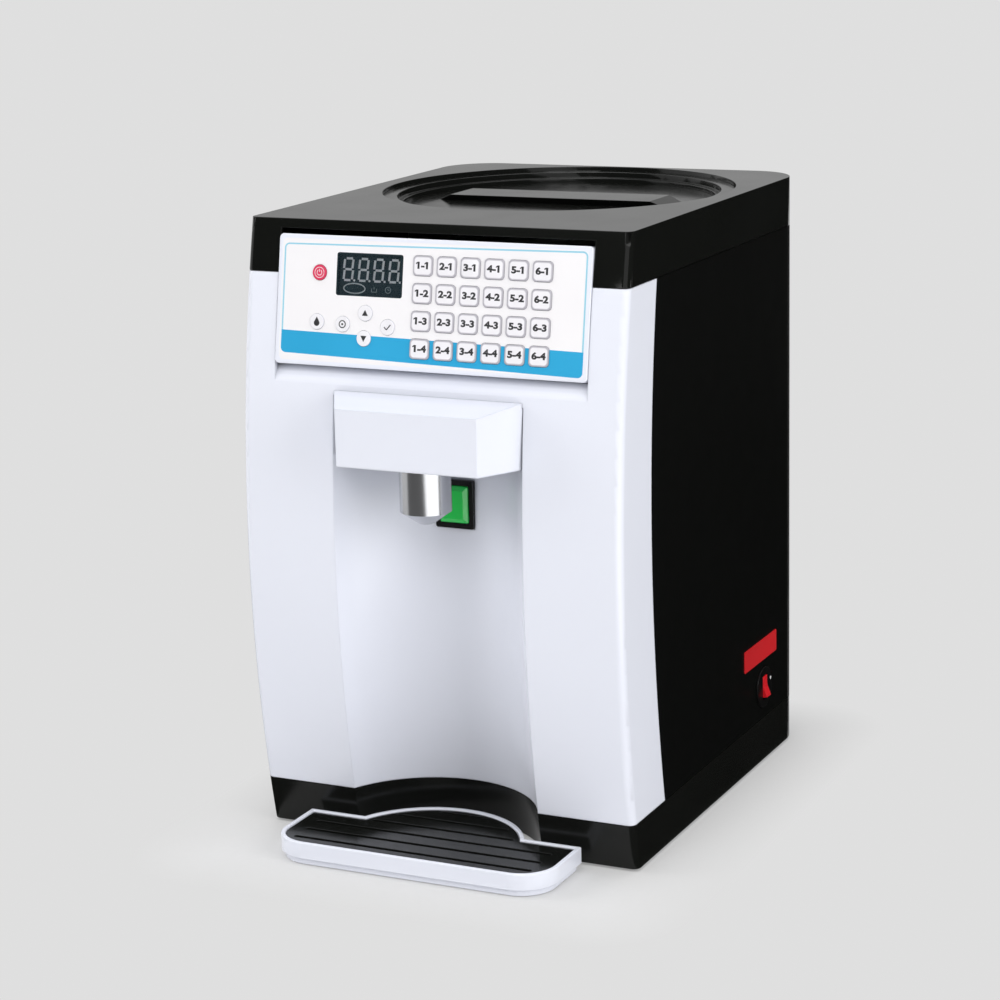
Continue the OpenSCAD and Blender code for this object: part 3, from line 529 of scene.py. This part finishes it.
def bar(length, width, middle=(0, 0), angle=0.0):
    """The outline of a turned bar about that point."""
    c, s = math.cos(math.radians(angle)), math.sin(math.radians(angle))
    corners = [(-1, -1), (1, -1), (1, 1), (-1, 1)]
    flat = [(x * length / 2, y * width / 2) for x, y in corners]
    return [(middle[0] + c * x - s * y, middle[1] + s * x + c * y) for x, y in flat]


def ink(name, colour):
    """Screen-printed ink, a little uneven, also used for the painted glint on the switch."""
    s = Shader(name)
    cloud = s.span(s.noise(600, 3), 0.35, 0.65)
    s.set("Base_Color", s.mix(cloud, colour, [c * 0.8 for c in colour]))
    s.set("Roughness", s.span(s.noise(900, 2), 0.3, 0.7, 0.4, 0.55))
    s.set("Normal", s.bump(s.noise(3000, 2), 0.000003))
    return s


def figure_mesh(name, words, height, place, boldness, widen):
    """The words in Blender's own plain face, as a thin raised mesh of that height."""
    curve = bpy.data.curves.new(name, "FONT")
    curve.body = words
    curve.align_x = "CENTER"
    curve.align_y = "CENTER"
    cap_share = 0.73
    curve.size = height / cap_share
    curve.offset = boldness
    curve.extrude = PRINT_T / 2
    curve.resolution_u = 3
    holder = bpy.data.objects.new(name, curve)
    mesh = bpy.data.meshes.new_from_object(holder)
    add_flags_to_ones(mesh, words, height)
    mesh.transform(place @ Matrix.Diagonal((widen, 1, 1, 1)))
    bpy.data.objects.remove(holder)
    bpy.data.curves.remove(curve)
    mesh.name = name
    return mesh


def add_flags_to_ones(mesh, words, height):
    """Gives a first and a last 1, plain bars in this face, the slanted flag of a printed 1."""
    flag = [(0.02, 0), (-0.22, -0.19), (-0.22, -0.38), (0.02, -0.24)]
    stem_reach = 0.3
    points = [v.co.copy() for v in mesh.vertices]
    top = max(p.y for p in points)
    right = max(p.x for p in points)
    stems = []
    if words[0] == "1":
        stems.append(min(p.x for p in points))
    if words[-1] == "1":
        stems.append(min(p.x for p in points if p.x > right - stem_reach * height))
    build = bmesh.new()
    build.from_mesh(mesh)
    for x in stems:
        outline = [(x + height * fx, top + height * fy) for fx, fy in flag]
        raise_outline(build, outline, -PRINT_T / 2, PRINT_T)
    bmesh.ops.recalc_face_normals(build, faces=build.faces)
    build.to_mesh(mesh)
    build.free()


def preset_key_at(column, row):
    """Where on the panel a preset key's middle is, counted from the upper left."""
    return (
        FIRST_KEY_AT[0] + (column - 1) * KEY_PITCH[0],
        FIRST_KEY_AT[1] - (row - 1) * KEY_PITCH[1],
    )


def add_key_labels(dark):
    """The numbers on the preset keys, each riding on its own key."""
    height, boldness, widen = 4.2 * MM, 0.27 * MM, 1.25
    for column in range(1, 7):
        for row in range(1, 5):
            place = on_panel(*preset_key_at(column, row), KEY_PROUD + PRINT_T / 2)
            name = f"label_{column}_{row}"
            mesh = figure_mesh(name, f"{column}-{row}", height, place, boldness, widen)
            add_piece(name, mesh, dark, f"key_{column}_{row}")


def add_key_signs(dark, pale):
    """Plain signs on the round keys: power, arrows, a drop, a ring and a tick."""
    def put(key, outlines, shader):
        place = on_panel(*ROUND_KEYS_AT[key], KEY_PROUD)
        mesh = slab(f"sign_{key}", outlines, place, PRINT_T)
        add_piece(f"sign_{key}", mesh, shader, key)

    power = arc_band(1.7 * MM, 0.5 * MM, 125, 415, steps=24)
    power.append(bar(0.5 * MM, 2.0 * MM, (0, 1.2 * MM)))
    power += arc_band(3.3 * MM, 0.45 * MM, steps=40)
    put("key_power", power, pale)
    up = [(-2.1 * MM, -1.7 * MM), (2.1 * MM, -1.7 * MM), (0, 2.1 * MM)]
    put("key_up", [up], dark)
    put("key_down", [[(x, -y) for x, y in reversed(up)]], dark)
    drop_r, drop_low, drop_tip = 2.0 * MM, 0.8 * MM, 3.2 * MM
    drop = [(0, drop_tip)]
    for degrees in range(30, -211, -15):
        a = math.radians(degrees)
        drop.append((drop_r * math.cos(a), drop_r * math.sin(a) - drop_low))
    put("key_clean", [drop], dark)
    ring = arc_band(2.2 * MM, 0.7 * MM, steps=28)
    ring.append(round_rect((1.4 * MM, 1.4 * MM), 0.69 * MM))
    put("key_set", ring, dark)
    tick = [bar(2.2 * MM, 0.7 * MM, (-1.4 * MM, -0.7 * MM), -45)]
    tick.append(bar(4.4 * MM, 0.7 * MM, (0.9 * MM, 0.05 * MM), 50))
    put("key_save", tick, dark)


def add_display_print(pale, faint):
    """The oval and the small signs along the foot of the display."""
    face_out = -1.4 * MM

    def put(name, offset, outlines, shader):
        at = WINDOW_AT + Vector(offset) * MM
        mesh = slab(name, outlines, on_panel(*at, face_out), PRINT_T)
        add_piece(name, mesh, shader, "dispenser")

    oval = arc_band(3.1 * MM, 0.8 * MM, stretch=2.45, steps=48)
    put("display_oval", (-11.0, -8.8), oval, pale)
    cup_w, cup_h, line_w = 3.6 * MM, 2.2 * MM, 0.4 * MM
    cup = [bar(cup_w, line_w, (0, -1.3 * MM))]
    cup += [bar(line_w, cup_h, (side * cup_w / 2, -0.2 * MM)) for side in (-1, 1)]
    cup.append(bar(line_w, 1.6 * MM, (0, 1.2 * MM)))
    put("display_cup", (3.0, -9.2), cup, faint)
    clock = arc_band(1.9 * MM, 0.4 * MM, steps=28)
    clock += [bar(0.35 * MM, 1.3 * MM, (0, 0.5 * MM)), bar(1.2 * MM, 0.35 * MM, (0.5 * MM, 0))]
    put("display_clock", (12.9, -8.9), clock, faint)


def add_film_seam(shader):
    """Lacquer that hides the gap between the film and its bezel."""
    panel_middle = 41.6 * MM
    seam_size, seam_radius, seam_w = (213.9 * MM, 79.1 * MM), 4.2 * MM, 1.6 * MM
    band = frame_band(seam_size, seam_radius, seam_w)
    mesh = slab("film_seam", band, on_panel(0, panel_middle), PRINT_T)
    add_piece("film_seam", mesh, shader, "dispenser")


def on_side(node_name, y, z):
    """The matrix that puts a flat drawing on the right-hand face of a node."""
    turn = Matrix(((0, 0, 1), (1, 0, 0), (0, 1, 0))).to_4x4()
    return Matrix.Translation((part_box(node_name)[1].x, y, z)) @ turn


def add_switch_plate():
    """The plain red plate above the power switch, on the right-hand side wall."""
    plate_size, plate_t = (64 * MM, 15.5 * MM), 0.6 * MM
    red = moulded(
        "red_plate", (0.66, 0.010, 0.016), (0.50, 0.007, 0.011), roughness=0.45, spread=0.05,
        Specular_IOR_Level=0.3,
    )
    corner, bevel = 1.2 * MM, 0.2 * MM
    outline = round_rect(plate_size, corner)
    place = on_side("housing_shell", 100.2 * MM, 83.75 * MM)
    mesh = slab("switch_plate", [outline], place, plate_t, bevel)
    add_piece("switch_plate", mesh, red, "dispenser")


def add_switch_glint(white):
    """A white dot on the switch's collar: a painted glint."""
    outline = round_rect((2.4 * MM, 2.4 * MM), 1.19 * MM)
    place = on_side("switch_body", 117.3 * MM, 59.8 * MM)
    mesh = slab("switch_glint", [outline], place, PRINT_T)
    add_piece("switch_glint", mesh, white, "dispenser")


# ---- Studio ----

BACKDROP = (0.739, 0.739, 0.739)


def seen_directly(tree):
    """1 for rays that the eye, a gloss or a glass sends out, else 0."""
    path = tree.nodes.new("ShaderNodeLightPath")
    total = path.outputs["Is Camera Ray"]
    for other in ("Is Glossy Ray", "Is Transmission Ray"):
        highest = tree.nodes.new("ShaderNodeMath")
        highest.operation = "MAXIMUM"
        tree.links.new(total, highest.inputs[0])
        tree.links.new(path.outputs[other], highest.inputs[1])
        total = highest.outputs[0]
    return total


def add_world(ambient):
    """The backdrop's colour all round, dimmer where it only lights the object."""
    world = bpy.data.worlds.new("studio")
    bpy.context.scene.world = world
    world.use_nodes = True
    tree = world.node_tree
    background = tree.nodes["Background"]
    background.inputs["Color"].default_value = (*BACKDROP, 1)
    strength = tree.nodes.new("ShaderNodeMapRange")
    strength.inputs["To Min"].default_value = ambient
    strength.inputs["To Max"].default_value = 1.0
    tree.links.new(seen_directly(tree), strength.inputs["Value"])
    tree.links.new(strength.outputs[0], background.inputs["Strength"])


def add_floor():
    """A pale floor that fades into the backdrop close round the object."""
    radius = 8.0
    footprint = (0.133, 0.19, 0.0)
    fade = (-0.03, 0.06)
    build = bmesh.new()
    bmesh.ops.create_circle(build, cap_ends=True, segments=96, radius=radius)
    mesh = bpy.data.meshes.new("floor")
    build.to_mesh(mesh)
    build.free()
    floor = bpy.data.objects.new("floor", mesh)
    bpy.context.scene.collection.objects.link(floor)
    s = Shader("floor", Roughness=0.9, Specular_IOR_Level=0.0)
    grain = s.span(s.noise(220, 3), 0.3, 0.7)
    s.set("Base_Color", s.mix(grain, (0.70, 0.70, 0.70), (0.715, 0.715, 0.715)))
    beyond = s.vector("SUBTRACT", s.vector("ABSOLUTE", s.place), footprint)
    beyond = s.vector("MAXIMUM", beyond, (0, 0, 0))
    away = s.add("ShaderNodeVectorMath", {0: beyond}, operation="LENGTH").outputs["Value"]
    far = s.span(away, *fade)
    glow = s.add("ShaderNodeEmission", {"Color": BACKDROP, "Strength": 1.0})
    blend = s.add("ShaderNodeMixShader", {0: s.math("MULTIPLY", far, seen_directly(s.tree))})
    s.tree.links.new(s.surface.outputs[0], blend.inputs[1])
    s.tree.links.new(glow.outputs[0], blend.inputs[2])
    s.tree.links.new(blend.outputs[0], s.tree.nodes["Material Output"].inputs["Surface"])
    mesh.materials.append(s.material)


def add_card(name, corners, shader):
    """A card that only gloss sees, as a studio hangs or lays beside a black object."""
    mesh = bpy.data.meshes.new(name)
    mesh.from_pydata(corners, [], [(0, 1, 2, 3)])
    mesh.materials.append(shader.material)
    card = bpy.data.objects.new(name, mesh)
    bpy.context.scene.collection.objects.link(card)
    card.visible_camera = False
    card.visible_diffuse = False
    card.visible_shadow = False
    card.visible_transmission = False
    card.visible_volume_scatter = False


def standing(left, right, low, high):
    """Corners of an upright card between two places on the floor."""
    return [(*left, low), (*right, low), (*right, high), (*left, high)]


def lying(near_x, far_x, near_y, far_y, level):
    """Corners of a level card."""
    return [
        (near_x, near_y, level), (far_x, near_y, level), (far_x, far_y, level),
        (near_x, far_y, level),
    ]


def cloth(name, grey):
    """Matt cloth."""
    s = Shader(name, Roughness=1.0, Specular_IOR_Level=0.0)
    nap = s.span(s.noise(30, 2), 0.3, 0.7)
    s.set("Base_Color", s.mix(nap, [0.7 * grey] * 3, [1.3 * grey] * 3))
    return s


def lit_paper(name, strength, grey):
    """Paper that glows a little unevenly."""
    s = Shader(name, Roughness=1.0, Specular_IOR_Level=0.0)
    s.set("Base_Color", [grey] * 3)
    s.set("Emission_Color", s.mix(s.noise(3, 1), (0.95, 0.95, 0.95), (1.0, 1.0, 1.0)))
    s.set("Emission_Strength", strength)
    return s


def add_cards():
    """Dark flags before the black faces, and bright cards where they and the steel need a glint."""
    floor_z = 0.001
    velvet = cloth("velvet", 0.006)
    felt = cloth("felt", 0.12)
    add_card("flag_right", standing((0.2, -0.16), (0.2, 1.4), 0.0, 0.9), velvet)
    far_left, far_right = (-3.39, -2.39), (0.42, -3.2)
    add_card("flag_low", [
        (*far_right, floor_z), (0.42, -0.21, floor_z), (-0.15, -0.21, floor_z),
        (*far_left, floor_z),
    ], felt)
    add_card("flag_front", standing(far_right, far_left, floor_z, 2.4), velvet)
    add_card("flag_beside_right", lying(0.134, 0.6, -0.2, 1.4, floor_z), velvet)
    add_card("flag_beside_left", lying(-0.134, -0.9, -0.2, 1.4, floor_z), velvet)
    bright = lit_paper("glow_right", 1.15, grey=0.7)
    add_card("glow_right", lying(0.43, 2.4, -1.7, -0.24, floor_z), bright)
    dim = lit_paper("glow_back", 0.5, grey=0.0)
    add_card("glow_back", standing((-2.45, 1.70), (0.25, 3.0), floor_z, 2.2), dim)


def add_softbox(name, place, size, power, glossy=True):
    """A rectangular lamp aimed at the object's middle."""
    aim = Vector((0, -0.05, 0.2))
    data = bpy.data.lights.new(name, "AREA")
    data.shape = "RECTANGLE"
    data.size, data.size_y = size
    data.energy = power
    light = bpy.data.objects.new(name, data)
    light.location = place
    light.rotation_euler = (aim - Vector(place)).to_track_quat("-Z", "Y").to_euler()
    light.visible_glossy = glossy
    bpy.context.scene.collection.objects.link(light)


def add_studio():
    add_world(ambient=0.62)
    add_floor()
    add_cards()
    add_softbox("key", (0.3, -2.0, 1.9), (1.6, 1.2), 19)
    add_softbox("left", (-2.0, -0.8, 1.2), (1.2, 1.6), 20, glossy=False)
    add_softbox("right", (2.0, -0.8, 1.0), (1.2, 1.6), 24, glossy=False)
    add_softbox("top", (0.0, 0.3, 2.3), (1.8, 1.8), 16)
    bpy.context.scene.view_settings.view_transform = "Standard"


# ---- The whole ----

add_camera()
materials = make_materials()
dress_nodes(materials)
for node_name, width in EDGE_WIDTHS.items():
    round_edges(frame["nodes"][node_name], width * MM)
for node_name in frame["nodes"]:
    if node_name.startswith("key_"):
        round_edges(frame["nodes"][node_name], KEY_EDGE * MM)
black_ink = ink("black_ink", (0.035, 0.035, 0.038))
white_ink = ink("white_ink", (0.88, 0.72, 0.75))
pale_ink = ink("pale_ink", (0.40, 0.39, 0.39))
faint_ink = ink("faint_ink", (0.19, 0.21, 0.22))
add_key_labels(black_ink)
add_key_signs(black_ink, white_ink)
add_display_print(pale_ink, faint_ink)
add_film_seam(materials["white_bezel"])
add_switch_plate()
# the switch's glint is a painted highlight, a white dot on its collar
add_switch_glint(ink("glint_ink", (0.85, 0.85, 0.85)))
add_studio()
